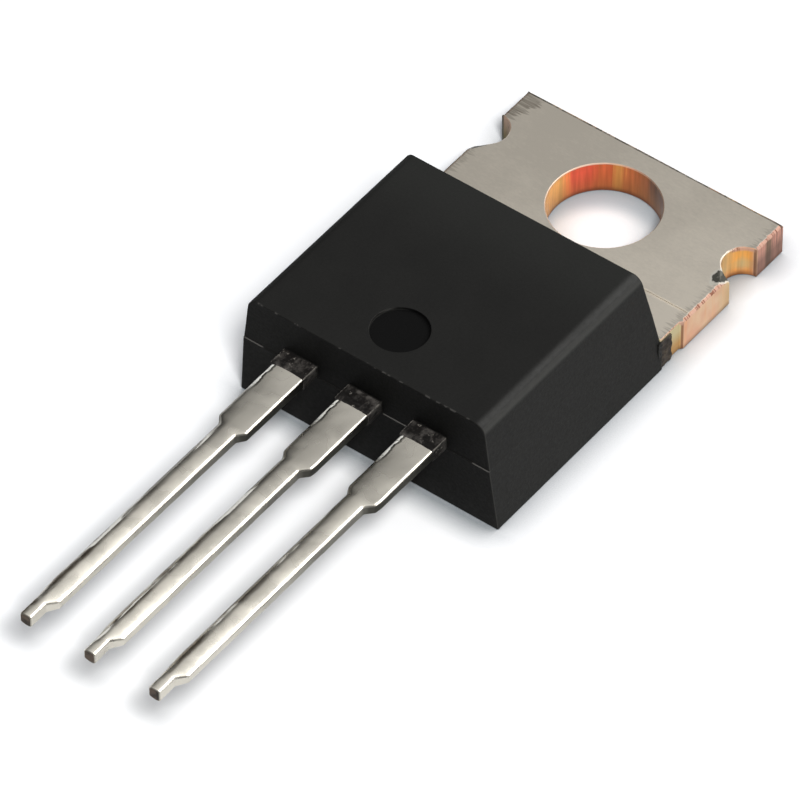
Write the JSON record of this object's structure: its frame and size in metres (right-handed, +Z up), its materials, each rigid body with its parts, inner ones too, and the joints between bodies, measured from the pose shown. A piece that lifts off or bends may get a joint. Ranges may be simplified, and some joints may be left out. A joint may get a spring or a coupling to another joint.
{
  "type": "voltage regulator",
  "caption": "Small power regulator: a drilled, notched metal tab, a black moulded body and straight flat leads that narrow towards their tips.",
  "frame": {"origin": "on the axis of the mounting hole, in the plane of the tab's flat back face, on which the part rests", "axes": "+X across the package, towards the output lead; +Y to the free end of the tab, with the leads along -Y; +Z up, from the tab's back through the moulded body"},
  "size_m": [0.0102, 0.0289, 0.0044],
  "materials": {
    "epoxy_mould": "fine matt moulded epoxy",
    "plated_copper": "satin nickel-plated copper, bare copper on the punched edges",
    "tinned_lead": "bright tin plate",
    "soft_solder": "satin",
    "silicon": "polished",
    "bond_wire": "bright drawn wire"
  },
  "bodies": {
    "root": {"mould_body": "epoxy_mould", "heat_tab": "plated_copper", "input_lead": "tinned_lead", "output_lead": "tinned_lead", "die_solder": "soft_solder", "die": "silicon", "input_wire": "bond_wire", "output_wire": "bond_wire", "ground_wire": "bond_wire"}
  },
  "joints": []
}
